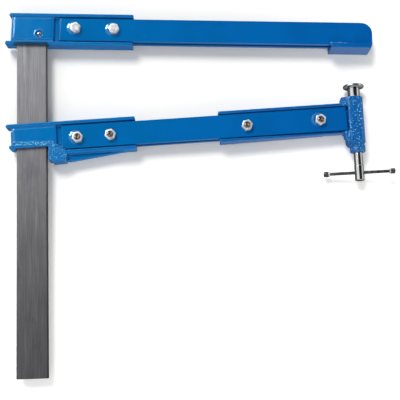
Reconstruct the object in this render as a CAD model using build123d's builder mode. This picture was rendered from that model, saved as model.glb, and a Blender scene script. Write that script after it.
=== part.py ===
from build123d import *
from math import cos, radians, sin, tan
import os

# A deep bar clamp lying on its side: +X along the arms, +Y along the bar to the fixed head,
# +Z up. The origin is under the middle of the whole clamp. "Station" is a distance up the
# bar from its free end. "Reach" is a distance along an arm from the middle of the bar, and
# "side" a distance across an arm, positive toward the fixed head's end of the bar.

# Bar
bar_width = 40.0
bar_thickness = 12.0
bar_length = 484.0
bar_edge_radius = 0.8
bar_side = bar_width / 2

# Arms: how far below the bar's end the fixed arm's axis crosses it, how far below that the
# sliding arm's axis does, and how many degrees they lean toward each other
bar_overhang = 12.7
arm_spacing = 156.5
fixed_lean = -2.885
sliding_lean = 1.95
fixed_station = bar_length - bar_overhang
sliding_station = fixed_station - arm_spacing

# Reach of the screw, and where the sliding arm's axis meets it
spindle_reach = 439.1
screw_station = sliding_station + spindle_reach * tan(radians(sliding_lean))

# Housing of the screw, its sides measured from the spindle's axis and its ends from the arm's
housing_drop = 37.25
housing_rise = 29.15
housing_right = 9.8
housing_left = 11.6
housing_outer_radius = 8.0
housing_inner_radius = 2.5
housing_top_bevel = 0.9
housing_foot_bevel = 2.2
housing_foot = screw_station - housing_drop
housing_top = screw_station + housing_rise
shoulder_left = 18.8
shoulder_rise = 19.0
shoulder_depth = 24.0
shoulder_radius = 4.5
step_left = 20.5
step_right = 9.0
step_drop = 2.1
step_radius = 1.2
step_top = housing_top - step_drop
neck_diameter = 21.0
neck_length = 9.3
neck_end_radius = 1.2

# Jaw pad welded across the end of the fixed arm, opposite the screw
jaw_pad_lead = 27.6
jaw_pad_length = 55.3
jaw_pad_thickness = 6.0
jaw_pad_depth = 30.0
jaw_pad_bevel = 0.6
jaw_pad_start = spindle_reach - jaw_pad_lead

# Long side plates of both arms, bolted on either side of a web: gaps from the bar's edge and
# from the housing, and how far the fixed arm's plates run past the jaw pad
plate_width = 32.0
plate_thickness = 5.0
plate_end_bevel = 1.4
web_thickness = 7.0
fixed_plate_gap = 18.3
fixed_plate_overrun = 2.5
fixed_plate_corner_radius = 15.0
sliding_plate_gap = 20.4
plate_housing_gap = 2.0
sliding_plate_corner = 5.0
fixed_plate_start = bar_side + fixed_plate_gap
fixed_plate_end = jaw_pad_start + jaw_pad_length + fixed_plate_overrun
sliding_plate_start = bar_side + sliding_plate_gap
sliding_plate_end = spindle_reach - housing_left - plate_housing_gap

# Flanges, webs and boxes of the two head castings
flange_depth = 20.0
flange_plate_gap = 2.0
flange_thickness = 4.5
flange_tip_radius = 1.6
flange_inner = plate_width / 2 + flange_plate_gap
flange_outer = flange_inner + flange_thickness
root_share = 0.9
cast_edge_radius = 0.8
head_reach = 140.0
box_cover = 2.0
box_depth = bar_thickness + 2 * box_cover
box_corner_radius = 3.2
panel_rise = 1.0
panel_draft = 40.0

# Fixed head: how far its parts run out beside the bar's edges, and its panel's gaps from the
# bar's edges and the flanges
fixed_top_run = 11.0
fixed_lip_run = 15.0
fixed_left_run = 7.7
fixed_right_run = 11.0
fixed_panel_left_run = 4.0
fixed_panel_right_run = 9.0
fixed_panel_bottom_gap = 4.0
fixed_panel_top_gap = 1.6
fixed_top_tip = bar_side + fixed_top_run
fixed_lip_tip = bar_side + fixed_lip_run
fixed_box_left = bar_side + fixed_left_run
fixed_box_right = bar_side + fixed_right_run
fixed_panel_left = bar_side + fixed_panel_left_run
fixed_panel_right = bar_side + fixed_panel_right_run
fixed_panel_bottom = flange_inner - fixed_panel_bottom_gap
fixed_panel_top = flange_inner - fixed_panel_top_gap

# Pin through fixed head and bar, with round ends standing in sunk rings
rivet_diameter = 6.5
rivet_inset = 8.8
rivet_side = -6.8
rivet_ring_diameter = 10.0
rivet_ring_depth = 1.8
rivet_reach = bar_side - rivet_inset

# Sliding head, its short lower flange, and its panel
bar_clearance = 0.3
sliding_top_run = 14.0
sliding_lip_run = 10.0
sliding_left_run = 7.5
sliding_right_run = 13.5
sliding_panel_left_run = 4.0
sliding_panel_right_run = 12.0
sliding_panel_bottom_gap = 2.5
sliding_panel_top_gap = 2.0
low_flange_outer = 11.0
low_flange_thickness = 4.0
low_flange_inner = low_flange_outer - low_flange_thickness
sliding_top_tip = bar_side + sliding_top_run
sliding_lip_tip = bar_side + sliding_lip_run
sliding_box_left = bar_side + sliding_left_run
sliding_box_right = bar_side + sliding_right_run
sliding_panel_left = bar_side + sliding_panel_left_run
sliding_panel_right = bar_side + sliding_panel_right_run
sliding_panel_bottom = low_flange_inner - sliding_panel_bottom_gap
sliding_panel_top = flange_inner - sliding_panel_top_gap

# Lug of the sliding head, beside the bar: runs from the bar's edge, and drops below the place
# where the arm's axis crosses the bar
lug_bar_gap = 3.1
lug_step_width = 5.3
lug_step_drop = 29.8
lug_foot_drop = 32.3
lug_heel_run = 25.9
lug_heel_drop = 31.3
lug_nose_run = 29.3
lug_nose_drop = 20.2
lug_shoulder_run = 26.5
lug_shoulder_drop = 16.6

# Gusset under the lower flange of the sliding head
gusset_start_run = 26.0
gusset_foot_run = 33.0
gusset_end_gap = 1.0
gusset_depth = 10.0

# Screw bracket: I-section with a tapered lower flange
bracket_length = 186.5
bracket_plate_gap = 1.4
bracket_flange_thickness = 4.0
bracket_low_end_thickness = 2.4
bracket_low_end_depth = 11.0
bracket_start = spindle_reach - bracket_length
bracket_inner = plate_width / 2 + bracket_plate_gap

# Swivel pad on the spindle's ball
pad_housing_gap = 1.3
pad_diameter = 28.3
pad_thickness = 3.2
pad_rim_bevel = 0.9
pad_neck_diameter = 16.5
pad_neck_bevel = 0.9
ball_diameter = 9.5
ball_neck_diameter = 6.5
ball_depth = 7.8
ball_cover = 9.0
ball_clearance = 0.1
socket_mouth_clearance = 0.4
pad_neck_start = housing_top + pad_housing_gap
ball_station = pad_neck_start + ball_depth
pad_face_station = ball_station + ball_cover

# Spindle, with a cross-bored head below the housing
spindle_diameter = 12.0
screw_clearance = 0.08
spindle_free_length = 17.9
spindle_head_diameter = 12.6
spindle_head_length = 20.7
spindle_head_bevel = 0.8
spindle_shoulder_gap = 1.0
spindle_head_end = housing_foot - neck_length - spindle_free_length
spindle_head_start = spindle_head_end - spindle_head_length

# Tommy bar through the spindle's head, turned some degrees about the spindle
tommy_diameter = 4.2
tommy_length = 95.4
tommy_inset = 10.7
tommy_turn = 6.0
tommy_clearance = 0.1
knob_diameter = 7.3
knob_length = 8.0
knob_radius = 1.6
knob_wall = 1.4
tommy_station = spindle_head_start + tommy_inset

# Bolts and nuts, one size throughout
bolt_diameter = 8.0
bolt_hole_clearance = 0.2
thread_clearance = 0.05
hex_across_flats = 13.0
hex_bevel_angle = 30.0
bolt_end_proud = 1.6
bolt_end_sunk = 0.4
bolt_end_bevel = 0.8

# Their places across the arm, and along it from the bar's edge, from the head's far end, or
# back from the screw
fixed_near_bolt_run = 41.1
fixed_near_bolt_side = 1.2
fixed_far_bolt_back = 26.0
fixed_far_bolt_side = 0.5
head_near_bolt_run = 42.3
head_near_bolt_side = -2.0
head_far_bolt_back = 33.7
head_far_bolt_side = -1.4
bracket_near_bolt_back = 148.6
bracket_near_bolt_side = -1.3
bracket_far_bolt_back = 49.4
bracket_far_bolt_side = -0.5
fixed_bolt_places = [(bar_side + fixed_near_bolt_run, fixed_near_bolt_side),
                     (head_reach - fixed_far_bolt_back, fixed_far_bolt_side)]
head_bolt_places = [(bar_side + head_near_bolt_run, head_near_bolt_side),
                    (head_reach - head_far_bolt_back, head_far_bolt_side)]
bracket_bolt_places = [(spindle_reach - bracket_near_bolt_back, bracket_near_bolt_side),
                       (spindle_reach - bracket_far_bolt_back, bracket_far_bolt_side)]

# Heights: all is even about the middle of the jaw pad, which lies on the ground
mid_height = jaw_pad_depth / 2
plate_low = mid_height - web_thickness / 2 - plate_thickness
plate_high = mid_height + web_thickness / 2
plate_top = plate_high + plate_thickness
hex_height = plate_low

# Ends of the whole clamp: the fixed head's lip and the tommy bar's far knob, and the fixed
# head's corner above the bar's free end
lip_middle = fixed_lip_tip - flange_tip_radius
corner_middle = fixed_top_tip - flange_tip_radius
flange_middle = flange_outer - flange_tip_radius
knob_middle = tommy_length / 2 - knob_radius
knob_core = knob_diameter / 2 - knob_radius
left_end = (lip_middle * cos(radians(fixed_lean)) - flange_middle * sin(radians(fixed_lean))
            + flange_tip_radius)
right_end = (spindle_reach + knob_middle * cos(radians(tommy_turn))
             + knob_core * sin(radians(tommy_turn)) + knob_radius)
top_end = (fixed_station - corner_middle * sin(radians(fixed_lean))
           + flange_middle * cos(radians(fixed_lean)) + flange_tip_radius)
bar_x = (left_end - right_end) / 2
foot_y = -top_end / 2
spindle_x = bar_x + spindle_reach

# How close an edge lies to a stated place to be taken as the one meant
match_share = 0.02

os.makedirs("parts", exist_ok=True)


def bench(height):
    """Level plane from the middle of the bar's free end: first axis across, second up the bar."""
    return Plane(origin=(bar_x, foot_y, height), x_dir=(1, 0, 0), z_dir=(0, 0, 1))


def arm(station, lean, height):
    """Level plane from where an arm crosses the bar, with its first axis along the arm."""
    along = (cos(radians(lean)), sin(radians(lean)), 0)
    return Plane(origin=(bar_x, foot_y + station, height), x_dir=along, z_dir=(0, 0, 1))


def fixed_arm(height):
    return arm(fixed_station, fixed_lean, height)


def sliding_arm(height):
    return arm(sliding_station, sliding_lean, height)


def across(level, reach):
    """Plane square to an arm at a reach: first axis across the arm, second axis up."""
    origin = level.from_local_coords((reach, 0, 0))
    return Plane(origin=origin, x_dir=level.y_dir, z_dir=level.x_dir)


def around_spindle(station):
    """Plane square to the spindle's axis at a station up the bar."""
    origin = (spindle_x, foot_y + station, mid_height)
    return Plane(origin=origin, x_dir=(1, 0, 0), z_dir=(0, 1, 0))


def along_spindle():
    """Level plane through the spindle's axis, its first axis giving the station."""
    origin = (spindle_x, foot_y, mid_height)
    return Plane(origin=origin, x_dir=(0, 1, 0), z_dir=(0, 0, 1))


def around_tommy(distance):
    """Plane square to the tommy bar, at a distance along it from the spindle's axis."""
    lie = radians(tommy_turn)
    along = (cos(lie), 0, sin(lie))
    origin = (spindle_x + distance * cos(lie), foot_y + tommy_station, mid_height + distance * sin(lie))
    return Plane(origin=origin, x_dir=(0, 1, 0), z_dir=along)


def span(start, low, end, high, mode=Mode.ADD):
    """Rectangle between two opposite corners, in the sketch around it."""
    with Locations((start, low)):
        Rectangle(end - start, high - low, align=(Align.MIN, Align.MIN), mode=mode)


def outline(points):
    """Face inside a row of points, in the sketch around it."""
    Polygon(*points, align=None)


def beam(level, start, end, inner, thickness):
    """Run of I-section along an arm, its roots rounded as far as the plates leave room."""
    recess = (flange_depth - web_thickness) / 2
    root_radius = root_share * (inner - plate_width / 2)
    middle = (web_thickness + recess) / 2
    with BuildSketch(across(level(mid_height), start)) as profile:
        Rectangle(2 * (inner + thickness), flange_depth)
        fillet(profile.vertices(), cast_edge_radius)
        with Locations((0, middle), (0, -middle)):
            Rectangle(2 * inner, recess, mode=Mode.SUBTRACT)
        fillet(profile.vertices().group_by(lambda corner: abs(corner.Y))[0], root_radius)
    extrude(profile.sketch, amount=end - start)


def add_box(level, left, low, right, high):
    """Box round the bar, its edges at the left end rounded."""
    ground = level(mid_height)
    side = Plane(origin=ground.from_local_coords((0, low, 0)), x_dir=ground.x_dir, z_dir=ground.y_dir)
    with BuildSketch(side) as section:
        span(-left, -box_depth / 2, right, box_depth / 2)
        fillet(section.vertices().group_by(Axis.X)[0], box_corner_radius)
    extrude(section.sketch, amount=high - low)


def add_panel(level, left, low, right, high):
    """Low raised panel with sloping edges, on both faces of the box."""
    with BuildSketch(level(mid_height + box_depth / 2)) as panel:
        span(-left, low, right, high)
    upper = extrude(panel.sketch, amount=panel_rise, taper=panel_draft)
    mirror(upper, about=level(mid_height))


def uprights(part, level, places):
    """Vertical edges of a part at places given along and across an arm."""
    near = match_share * flange_thickness

    def wanted(edge):
        spot = level.to_local_coords(edge.center())
        return any(abs(spot.X - reach) < near and abs(spot.Y - side) < near for reach, side in places)

    return part.edges().filter_by(Axis.Z).filter_by(wanted)


def cut_bolt_holes(level, places):
    """Clearance holes for bolts, through all that the part around it has there."""
    with BuildSketch(level(mid_height)) as holes:
        with Locations(*places):
            Circle(bolt_diameter / 2 + bolt_hole_clearance)
    extrude(holes.sketch, amount=mid_height, both=True, mode=Mode.SUBTRACT)


def save(piece, name):
    piece.part.label = name
    export_step(piece.part, f"parts/{name}.step")


def make_bar():
    with BuildPart() as bar:
        with BuildSketch(bench(mid_height - bar_thickness / 2)):
            Rectangle(bar_width, bar_length, align=(Align.CENTER, Align.MIN))
        extrude(amount=bar_thickness)
        fillet(bar.edges().filter_by(Axis.Y), bar_edge_radius)
        with BuildSketch(fixed_arm(mid_height)):
            with Locations((rivet_reach, rivet_side)):
                Circle(rivet_diameter / 2)
        extrude(amount=bar_thickness / 2, both=True, mode=Mode.SUBTRACT)
    save(bar, "bar")


def make_fixed_head():
    level = fixed_arm(mid_height)
    with BuildPart() as head:
        beam(fixed_arm, -fixed_lip_tip, head_reach, flange_inner, flange_thickness)
        # Left of the box only the two flange tips stand out, the lower one further
        with BuildSketch(level):
            span(-fixed_lip_tip, -flange_inner, -fixed_box_left, flange_inner)
            span(-fixed_lip_tip, flange_inner, -fixed_top_tip, flange_outer)
        extrude(amount=flange_depth / 2, both=True, mode=Mode.SUBTRACT)
        tip_places = [(-fixed_top_tip, flange_inner), (-fixed_top_tip, flange_outer),
                      (-fixed_lip_tip, -flange_inner), (-fixed_lip_tip, -flange_outer)]
        fillet(uprights(head, level, tip_places), flange_tip_radius)
        # Box round the bar, with a low raised panel on both faces
        add_box(fixed_arm, fixed_box_left, -flange_inner, fixed_box_right, flange_inner)
        add_panel(fixed_arm, fixed_panel_left, -fixed_panel_bottom, fixed_panel_right, fixed_panel_top)
        # Pocket that the bar's end fills
        with BuildSketch(bench(mid_height)):
            Rectangle(bar_width, bar_length, align=(Align.CENTER, Align.MIN))
        extrude(amount=bar_thickness / 2, both=True, mode=Mode.SUBTRACT)
        # Pin hole, opened to a ring at both faces
        with BuildSketch(level):
            with Locations((rivet_reach, rivet_side)):
                Circle(rivet_diameter / 2)
        extrude(amount=mid_height, both=True, mode=Mode.SUBTRACT)
        for way in (1, -1):
            face = way * (box_depth / 2 + panel_rise)
            with BuildSketch(fixed_arm(mid_height + face)):
                with Locations((rivet_reach, rivet_side)):
                    Circle(rivet_ring_diameter / 2)
            extrude(amount=-way * rivet_ring_depth, mode=Mode.SUBTRACT)
        cut_bolt_holes(fixed_arm, fixed_bolt_places)
    save(head, "fixed_head")


def make_head_rivet():
    with BuildPart() as rivet:
        with BuildSketch(fixed_arm(mid_height)):
            with Locations((rivet_reach, rivet_side)):
                Circle(rivet_diameter / 2)
        extrude(amount=box_depth / 2 + panel_rise, both=True)
        rims = rivet.edges().filter_by(GeomType.CIRCLE)
        fillet(rims, rivet_ring_depth)
    save(rivet, "head_rivet")


def make_fixed_plate(name, height, outer_side):
    level = fixed_arm(height)
    with BuildPart() as plate:
        with BuildSketch(level):
            span(fixed_plate_start, -plate_width / 2, fixed_plate_end, plate_width / 2)
        extrude(amount=plate_thickness)
        fillet(uprights(plate, level, [(fixed_plate_end, plate_width / 2)]), fixed_plate_corner_radius)
        bevel_left_end(plate, outer_side)
        cut_bolt_holes(fixed_arm, fixed_bolt_places)
    save(plate, name)


def bevel_left_end(plate, outer_side):
    """Bevel along the plate's end beside the bar, on the face that shows."""
    outer_face = plate.faces().sort_by(Axis.Z)[outer_side]
    chamfer(outer_face.edges().sort_by(Axis.X)[0], plate_end_bevel)


def make_sliding_plate(name, height, outer_side):
    level = sliding_arm(height)
    with BuildPart() as plate:
        with BuildSketch(level):
            span(sliding_plate_start, -plate_width / 2, sliding_plate_end, plate_width / 2)
        extrude(amount=plate_thickness)
        chamfer(uprights(plate, level, [(sliding_plate_start, -plate_width / 2)]), sliding_plate_corner)
        bevel_left_end(plate, outer_side)
        cut_bolt_holes(sliding_arm, head_bolt_places + bracket_bolt_places)
    save(plate, name)


def make_jaw_pad():
    with BuildPart() as pad:
        with BuildSketch(fixed_arm(0)):
            span(jaw_pad_start, -plate_width / 2 - jaw_pad_thickness,
                 jaw_pad_start + jaw_pad_length, -plate_width / 2)
        extrude(amount=jaw_pad_depth)
        chamfer(pad.faces().sort_by(Axis.Y)[0].edges(), jaw_pad_bevel)
    save(pad, "jaw_pad")


def make_sliding_head():
    level = sliding_arm(mid_height)
    with BuildPart() as head:
        beam(sliding_arm, -sliding_top_tip, head_reach, flange_inner, flange_thickness)
        # Left of the box's right wall only the upper flange of the section runs on
        with BuildSketch(level):
            span(-sliding_top_tip, -flange_outer, sliding_box_right, flange_inner)
        extrude(amount=flange_depth / 2, both=True, mode=Mode.SUBTRACT)
        tip_places = [(-sliding_top_tip, flange_inner), (-sliding_top_tip, flange_outer)]
        fillet(uprights(head, level, tip_places), flange_tip_radius)
        # Short lower flange beside the bar, the box between, and its raised panel
        with BuildSketch(level):
            span(-sliding_lip_tip, -low_flange_outer, sliding_box_right, -low_flange_inner)
        extrude(amount=flange_depth / 2, both=True)
        add_box(sliding_arm, sliding_box_left, -low_flange_outer, sliding_box_right, flange_inner)
        add_panel(sliding_arm, sliding_panel_left, -sliding_panel_bottom,
                  sliding_panel_right, sliding_panel_top)
        add_lug()
        add_gusset(level)
        # Slot that the bar runs in
        with BuildSketch(bench(mid_height)):
            Rectangle(2 * (bar_side + bar_clearance), bar_length, align=(Align.CENTER, Align.MIN))
        extrude(amount=bar_thickness / 2 + bar_clearance, both=True, mode=Mode.SUBTRACT)
        cut_bolt_holes(sliding_arm, head_bolt_places)
    save(head, "sliding_head")


def add_lug():
    """Full-depth lug beside the bar, under the box of the sliding head."""
    inner = lug_bar_gap
    points = [(inner, -low_flange_outer), (inner, -lug_step_drop),
              (inner + lug_step_width, -lug_step_drop), (inner + lug_step_width, -lug_foot_drop),
              (lug_heel_run, -lug_heel_drop), (lug_nose_run, -lug_nose_drop),
              (lug_shoulder_run, -lug_shoulder_drop), (sliding_right_run, -low_flange_inner)]
    with BuildSketch(bench(mid_height)) as lug:
        outline([(bar_side + run, sliding_station + drop) for run, drop in points])
    extrude(lug.sketch, amount=flange_depth / 2, both=True)


def add_gusset(level):
    """Rib in the middle plane that tapers off under the lower flange."""
    low = -flange_outer - gusset_depth
    start = bar_side + gusset_start_run
    end = head_reach - gusset_end_gap
    with BuildSketch(level) as gusset:
        outline([(start, -flange_inner), (start, low), (bar_side + gusset_foot_run, low),
                 (end, -flange_outer), (end, -flange_inner)])
    extrude(gusset.sketch, amount=web_thickness / 2, both=True)


def make_screw_bracket():
    level = sliding_arm(mid_height)
    end = spindle_reach - housing_left
    outer = bracket_inner + bracket_flange_thickness
    with BuildPart() as bracket:
        beam(sliding_arm, bracket_start, end, bracket_inner, bracket_flange_thickness)
        # The lower flange grows thinner and narrower toward the housing
        with BuildSketch(level):
            outline([(bracket_start, -outer), (end, -outer),
                     (end, -bracket_inner - bracket_low_end_thickness)])
        extrude(amount=flange_depth / 2, both=True, mode=Mode.SUBTRACT)
        side = Plane(origin=level.from_local_coords((0, -outer, 0)), x_dir=level.x_dir, z_dir=level.y_dir)
        for way in (1, -1):
            with BuildSketch(side):
                outline([(bracket_start, way * flange_depth / 2), (end, way * flange_depth / 2),
                         (end, way * bracket_low_end_depth / 2)])
            extrude(amount=bracket_flange_thickness, mode=Mode.SUBTRACT)
        add_housing(bracket)
        with BuildSketch(around_spindle(housing_foot - neck_length)):
            Circle(spindle_diameter / 2 + screw_clearance)
        extrude(amount=bar_length, mode=Mode.SUBTRACT)
        cut_bolt_holes(sliding_arm, bracket_bolt_places)
    save(bracket, "screw_bracket")


def add_housing(bracket):
    """Cast housing of the screw: body, shoulder below the arm, step above it, and neck."""
    foot = around_spindle(housing_foot)
    with BuildSketch(foot) as body:
        span(-housing_left, -mid_height, housing_right, mid_height)
        fillet(body.vertices().group_by(Axis.X)[-1], housing_outer_radius)
        fillet(body.vertices().group_by(Axis.X)[0], housing_inner_radius)
    extrude(body.sketch, amount=housing_top - housing_foot)
    with BuildSketch(foot) as shoulder:
        span(-shoulder_left, -shoulder_depth / 2, 0, shoulder_depth / 2)
        fillet(shoulder.vertices().group_by(Axis.X)[0], shoulder_radius)
    extrude(shoulder.sketch, amount=shoulder_rise)
    chamfer(bracket.faces().sort_by(Axis.Y)[0].edges(), housing_foot_bevel)
    chamfer(bracket.faces().sort_by(Axis.Y)[-1].edges(), housing_top_bevel)
    step_foot = (screw_station - step_left * tan(radians(sliding_lean))
                 + bracket_inner + bracket_flange_thickness / 2)
    with BuildSketch(bench(mid_height)) as step:
        span(spindle_reach - step_left, step_foot, spindle_reach - step_right, step_top)
    extrude(step.sketch, amount=flange_depth / 2, both=True)
    corner = uprights(bracket, bench(mid_height), [(spindle_reach - step_left, step_top)])
    fillet(corner, step_radius)
    with BuildSketch(foot) as neck:
        Circle(neck_diameter / 2)
    extrude(neck.sketch, amount=-neck_length)
    fillet(bracket.faces().sort_by(Axis.Y)[0].edges(), neck_end_radius)


def make_spindle():
    radius = spindle_diameter / 2
    head_radius = spindle_head_diameter / 2
    shoulder = pad_neck_start - spindle_shoulder_gap
    with BuildPart() as spindle:
        with BuildSketch(along_spindle()):
            outline([(spindle_head_start, 0), (spindle_head_start, head_radius - spindle_head_bevel),
                     (spindle_head_start + spindle_head_bevel, head_radius),
                     (spindle_head_end - spindle_head_bevel, head_radius),
                     (spindle_head_end, head_radius - spindle_head_bevel), (spindle_head_end, radius),
                     (shoulder - spindle_head_bevel, radius), (shoulder, radius - spindle_head_bevel),
                     (shoulder, ball_neck_diameter / 2), (ball_station, ball_neck_diameter / 2),
                     (ball_station, 0)])
        revolve(axis=Axis((spindle_x, foot_y, mid_height), (0, 1, 0)))
        with Locations((spindle_x, foot_y + ball_station, mid_height)):
            Sphere(ball_diameter / 2)
        with BuildSketch(around_tommy(0)):
            Circle(tommy_diameter / 2 + tommy_clearance)
        extrude(amount=spindle_head_diameter, both=True, mode=Mode.SUBTRACT)
    save(spindle, "spindle")


def make_swivel_pad():
    radius = pad_diameter / 2
    neck = pad_neck_diameter / 2
    back = pad_face_station - pad_thickness
    with BuildPart() as pad:
        with BuildSketch(along_spindle()):
            outline([(pad_neck_start, 0), (pad_neck_start, neck - pad_neck_bevel),
                     (pad_neck_start + pad_neck_bevel, neck), (back, neck), (back, radius - pad_rim_bevel),
                     (back + pad_rim_bevel, radius), (pad_face_station - pad_rim_bevel, radius),
                     (pad_face_station, radius - pad_rim_bevel), (pad_face_station, 0)])
        revolve(axis=Axis((spindle_x, foot_y, mid_height), (0, 1, 0)))
        with Locations((spindle_x, foot_y + ball_station, mid_height)):
            Sphere(ball_diameter / 2 + ball_clearance, mode=Mode.SUBTRACT)
        with BuildSketch(around_spindle(pad_neck_start)):
            Circle(ball_neck_diameter / 2 + socket_mouth_clearance)
        extrude(amount=ball_station - pad_neck_start, mode=Mode.SUBTRACT)
    save(pad, "swivel_pad")


def make_tommy():
    rod_half = tommy_length / 2 - knob_wall
    with BuildPart() as rod:
        with BuildSketch(around_tommy(-rod_half)):
            Circle(tommy_diameter / 2)
        extrude(amount=2 * rod_half)
    save(rod, "tommy_bar")
    for name, way in (("tommy_knob_left", -1), ("tommy_knob_right", 1)):
        with BuildPart() as knob:
            with BuildSketch(around_tommy(way * tommy_length / 2)):
                Circle(knob_diameter / 2)
            extrude(amount=-way * knob_length)
            fillet(knob.edges().filter_by(GeomType.CIRCLE).sort_by(Axis.X)[(way - 1) // 2], knob_radius)
            with BuildSketch(around_tommy(way * rod_half)):
                Circle(tommy_diameter / 2)
            extrude(amount=way * (knob_wall - knob_length), mode=Mode.SUBTRACT)
        save(knob, name)


def hexagon():
    """Hexagon block standing on the ground plane, its corners bevelled at both ends."""
    flat_radius = hex_across_flats / 2
    corner_radius = flat_radius / cos(radians(hex_bevel_angle))
    bevel = (corner_radius - flat_radius) * tan(radians(hex_bevel_angle))
    with BuildPart() as block:
        with BuildSketch():
            RegularPolygon(flat_radius, side_count=6, major_radius=False)
        extrude(amount=hex_height)
        with BuildSketch(Plane.XZ):
            outline([(0, 0), (flat_radius, 0), (corner_radius, bevel),
                     (corner_radius, hex_height - bevel), (flat_radius, hex_height), (0, hex_height)])
        revolve(axis=Axis.Z, mode=Mode.INTERSECT)
    return block.part


def make_nuts(name, level, places, foot):
    with BuildPart(level(foot)) as nuts:
        with Locations(*places):
            add(hexagon())
        cut = bolt_diameter / 2 + thread_clearance
        with BuildSketch(level(foot)):
            with Locations(*places):
                Circle(cut)
        extrude(amount=hex_height, mode=Mode.SUBTRACT)
    save(nuts, name)


def make_bolts(name, level, places, head_foot, shank_low, shank_high, free_end):
    with BuildPart(level(head_foot)) as bolts:
        with Locations(*places):
            add(hexagon())
        with BuildSketch(level(shank_low)):
            with Locations(*places):
                Circle(bolt_diameter / 2)
        extrude(amount=shank_high - shank_low)
        ends = bolts.edges().filter_by(GeomType.CIRCLE).group_by(Axis.Z)[free_end]
        chamfer(ends, bolt_end_bevel)
    save(bolts, name)


def make_fasteners():
    make_bolts("fixed_arm_bolts", fixed_arm, fixed_bolt_places, plate_top, bolt_end_sunk, plate_top, 0)
    make_nuts("fixed_arm_nuts", fixed_arm, fixed_bolt_places, 0)
    bolt_top = plate_top + hex_height + bolt_end_proud
    make_bolts("sliding_head_bolts", sliding_arm, head_bolt_places, 0, plate_low, bolt_top, -1)
    make_nuts("sliding_head_nuts", sliding_arm, head_bolt_places, plate_top)
    make_bolts("bracket_bolts", sliding_arm, bracket_bolt_places, 0, plate_low, bolt_top, -1)
    make_nuts("bracket_nuts", sliding_arm, bracket_bolt_places, plate_top)


make_bar()
make_fixed_head()
make_head_rivet()
make_fixed_plate("fixed_arm_front_plate", plate_high, -1)
make_fixed_plate("fixed_arm_back_plate", plate_low, 0)
make_jaw_pad()
make_sliding_head()
make_sliding_plate("sliding_arm_front_plate", plate_high, -1)
make_sliding_plate("sliding_arm_back_plate", plate_low, 0)
make_screw_bracket()
make_spindle()
make_swivel_pad()
make_tommy()
make_fasteners()
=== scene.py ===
import bpy
import random
from math import atan2, cos, pi, radians, sin, sqrt, tan
from mathutils import Matrix, Vector


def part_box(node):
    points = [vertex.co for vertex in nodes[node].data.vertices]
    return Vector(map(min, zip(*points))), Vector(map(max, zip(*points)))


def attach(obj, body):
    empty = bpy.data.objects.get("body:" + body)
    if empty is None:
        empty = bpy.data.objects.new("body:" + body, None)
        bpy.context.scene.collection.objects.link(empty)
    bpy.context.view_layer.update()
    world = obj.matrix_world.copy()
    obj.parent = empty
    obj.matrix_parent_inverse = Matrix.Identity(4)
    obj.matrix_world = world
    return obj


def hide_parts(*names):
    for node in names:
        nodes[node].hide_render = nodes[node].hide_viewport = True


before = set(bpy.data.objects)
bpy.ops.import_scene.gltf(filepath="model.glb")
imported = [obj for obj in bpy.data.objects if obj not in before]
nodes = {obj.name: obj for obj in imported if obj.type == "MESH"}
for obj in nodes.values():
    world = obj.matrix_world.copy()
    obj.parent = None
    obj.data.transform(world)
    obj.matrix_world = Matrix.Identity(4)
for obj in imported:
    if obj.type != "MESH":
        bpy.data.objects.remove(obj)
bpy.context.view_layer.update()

mm = 0.001

# The clamp's own measures that the frame's boxes do not give
clamp = {
    "barOverhang": 12.7 * mm,   # bar's end beyond the fixed arm's axis
    "armSpacing": 156.5 * mm,   # between the two arms' axes on the bar
    "fixedLean": -2.885,        # degrees that each arm's axis turns from straight across
    "slidingLean": 1.95,
    "plateWidth": 32.0 * mm,
    "plateTop": 23.5 * mm,      # heights above the floor
    "plateFoot": 6.5 * mm,
}
barLow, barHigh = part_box("bar")
barX = (barLow.x + barHigh.x) / 2
midZ = (barLow.z + barHigh.z) / 2
fixedY = barHigh.y - clamp["barOverhang"]
slidingY = fixedY - clamp["armSpacing"]
spindleLow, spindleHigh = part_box("spindle")
screwX = (spindleLow.x + spindleHigh.x) / 2


def onFixedArm(reach, side, height):
    lean = radians(clamp["fixedLean"])
    return Vector((barX + reach * cos(lean) - side * sin(lean),
                   fixedY + reach * sin(lean) + side * cos(lean), height))


def centresIn(node, count):
    # middles of a node's solids that stand in a row along X, from their vertices
    points = sorted((vertex.co for vertex in nodes[node].data.vertices), key=lambda point: point.x)
    gaps = sorted(range(1, len(points)), key=lambda i: points[i - 1].x - points[i].x)[:count - 1]
    cuts = [0] + sorted(gaps) + [len(points)]
    middles = []
    for first, last in zip(cuts, cuts[1:]):
        group = points[first:last]
        lows = [min(point[axis] for point in group) for axis in range(3)]
        highs = [max(point[axis] for point in group) for axis in range(3)]
        middles.append(Vector([(low + high) / 2 for low, high in zip(lows, highs)]))
    return middles


# Camera, found from the photograph: where plumb lines and the bar's edges would meet in it
cameraView = {
    "place": Vector((-15.976, -217.127, 1106.5)) * mm,
    "focalPixels": 830.0,
    "imagePixels": 400.0,
    "plumbPixel": (194.8, 348.7),
    "barMeetingPixelX": 26.5,
    "sensor": 36.0,
}


def makeCamera(values):
    half, focal = values["imagePixels"] / 2, values["focalPixels"]
    down = Vector((values["plumbPixel"][0] - half, values["plumbPixel"][1] - half, focal)).normalized()
    meetX = values["barMeetingPixelX"] - half
    along = Vector((meetX, -(meetX * down.x + focal * down.z) / down.y, focal)).normalized()
    across = along.cross(-down)
    # rows are the picture's right, down and forward, in the clamp's axes
    right, below, forward = (Vector((across[i], along[i], -down[i])) for i in range(3))
    camera = bpy.data.objects.new("photoCamera", bpy.data.cameras.new("photoCamera"))
    bpy.context.scene.collection.objects.link(camera)
    camera.matrix_world = (Matrix.Translation(values["place"])
                           @ Matrix((right, -below, -forward)).transposed().to_4x4())
    camera.data.sensor_width = values["sensor"]
    camera.data.lens = values["sensor"] * focal / values["imagePixels"]
    camera.data.clip_start, camera.data.clip_end = 10 * mm, 100
    bpy.context.scene.camera = camera


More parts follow.
